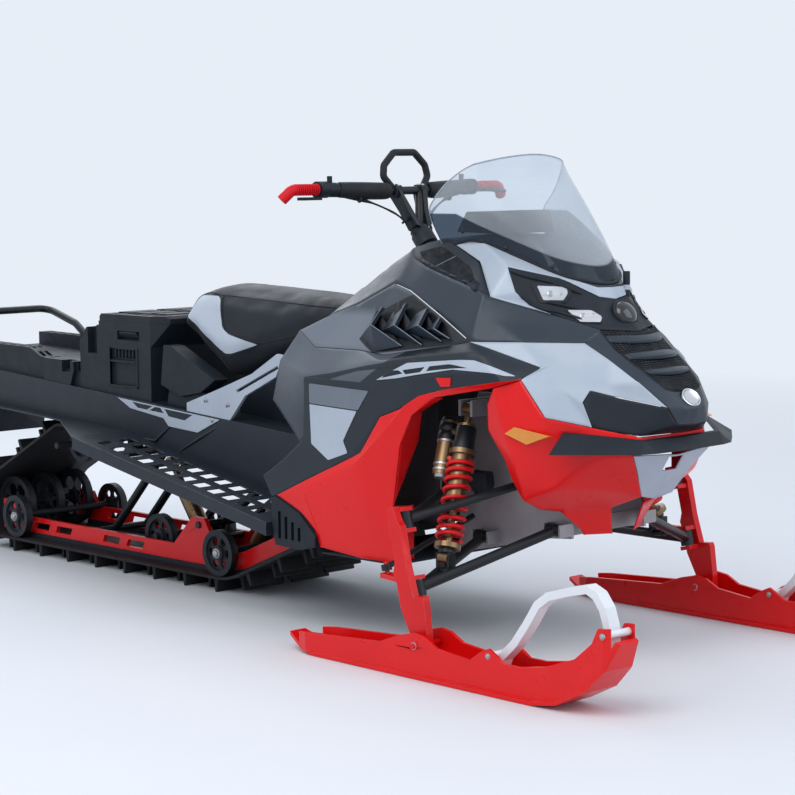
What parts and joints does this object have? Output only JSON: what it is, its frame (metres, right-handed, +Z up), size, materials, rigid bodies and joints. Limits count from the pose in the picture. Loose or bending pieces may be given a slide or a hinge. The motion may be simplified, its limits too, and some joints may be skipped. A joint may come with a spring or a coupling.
{
  "type": "snowmobile",
  "caption": "Utility snowmobile with steered skis on double wishbones, a lugged track under a long tunnel, saddle, storage box, cargo deck and tall screen.",
  "frame": {"origin": "on the ground under the middle of the overall length, on the centre plane", "axes": "+X forward, +Y to the rider's left, +Z up"},
  "size_m": [3.3, 1.17, 1.2595],
  "materials": {
    "track_rubber": "moulded rubber",
    "red_metal": "gloss paint",
    "black_plastic": "moulded",
    "wheel_black": "moulded",
    "black_metal": "powder coat",
    "damper_metal": "anodised",
    "tunnel_black": "satin coat",
    "red_plastic": "gloss",
    "graphite_plastic": "satin",
    "silver_plastic": "satin",
    "screen": "tinted clear",
    "grey_metal": "cast",
    "engine_metal": "plain",
    "seat_vinyl": "vinyl",
    "lamp_red": "lens",
    "red_rubber": "moulded",
    "black_rubber": "moulded",
    "white_plastic": "moulded",
    "amber_lens": "lens",
    "lamp_clear": "lens"
  },
  "bodies": {
    "chassis": {"belly_floor": "black_plastic", "belly_pan": "red_plastic", "bulkhead": "grey_metal", "cargo_deck": "black_plastic", "console": "black_plastic", "drive_axle": "wheel_black", "engine": "engine_metal", "flares": "silver_plastic", "front_bumper": "black_plastic", "grille": "black_plastic", "headlamps": "lamp_clear", "hood": "graphite_plastic", "keel_plate": "silver_plastic", "lamp_bezel": "silver_plastic", "lamp_housing": "black_plastic", "lower_arms": "black_metal", "lower_intake": "black_plastic", "mesh_windows": "black_plastic", "nose": "red_plastic", "rear_hoop": "black_metal", "reflectors": "amber_lens", "running_boards": "tunnel_black", "seat": "seat_vinyl", "seat_base": "black_plastic", "seat_struts": "silver_plastic", "shock_dampers": "damper_metal", "shock_springs": "red_metal", "side_panels": "graphite_plastic", "side_pods": "black_plastic", "skid_arms": "black_metal", "skid_rails": "red_metal", "skid_shocks": "damper_metal", "skid_wheels": "wheel_black", "sliders": "black_plastic", "snow_flap": "black_plastic", "storage_box": "black_plastic", "tail_lamp": "lamp_red", "toe_guards": "black_plastic", "track": "track_rubber", "tunnel": "tunnel_black", "tunnel_trims": "silver_plastic", "upper_arms": "black_metal", "vents": "black_plastic", "windshield": "screen"},
    "steering": {"handlebar": "black_metal", "grips": "red_rubber", "grab_strap": "black_rubber", "bar_controls": "black_plastic"},
    "ski_right_body": {"knuckle_right": "red_metal", "ski_loop_right": "white_plastic", "ski_right": "red_plastic"},
    "ski_left_body": {"knuckle_left": "red_metal", "ski_left": "red_plastic", "ski_loop_left": "white_plastic"},
    "tie_rod_right_body": {"tie_rod_right": "black_metal"},
    "tie_rod_left_body": {"tie_rod_left": "black_metal"},
    "lid": {"storage_lid": "black_plastic"}
  },
  "joints": [
    {"name": "steering", "type": "hinge", "parent": "chassis", "child": "steering", "pos_m": [0.455, 0, 1.04], "axis": [-0.6389, 0, 0.7693], "range_deg": [-36, 36]},
    {"name": "ski_right", "type": "hinge", "parent": "chassis", "child": "ski_right_body", "pos_m": [0.962, -0.505, 0.202], "axis": [-0.2504, 0, 0.9681], "range_deg": [-27, 27]},
    {"name": "tie_rod_right", "type": "hinge", "parent": "ski_right_body", "child": "tie_rod_right_body", "pos_m": [0.862, -0.511, 0.22136], "axis": [-0.2504, 0, 0.9681], "range_deg": [-27, 27]},
    {"name": "ski_left", "type": "hinge", "parent": "chassis", "child": "ski_left_body", "pos_m": [0.962, 0.505, 0.202], "axis": [-0.2504, 0, 0.9681], "range_deg": [-27, 27]},
    {"name": "tie_rod_left", "type": "hinge", "parent": "ski_left_body", "child": "tie_rod_left_body", "pos_m": [0.862, 0.511, 0.22136], "axis": [-0.2504, 0, 0.9681], "range_deg": [-27, 27]},
    {"name": "box_lid", "type": "hinge", "parent": "chassis", "child": "lid", "pos_m": [-0.734, 0, 0.771], "axis": [0, -1, 0], "range_deg": [0, 95]}
  ],
  "couplings": [
    {"joint": "ski_right", "follows": "steering", "ratio": 0.75},
    {"joint": "tie_rod_right", "follows": "steering", "ratio": -0.75},
    {"joint": "ski_left", "follows": "steering", "ratio": 0.75},
    {"joint": "tie_rod_left", "follows": "steering", "ratio": -0.75}
  ]
}
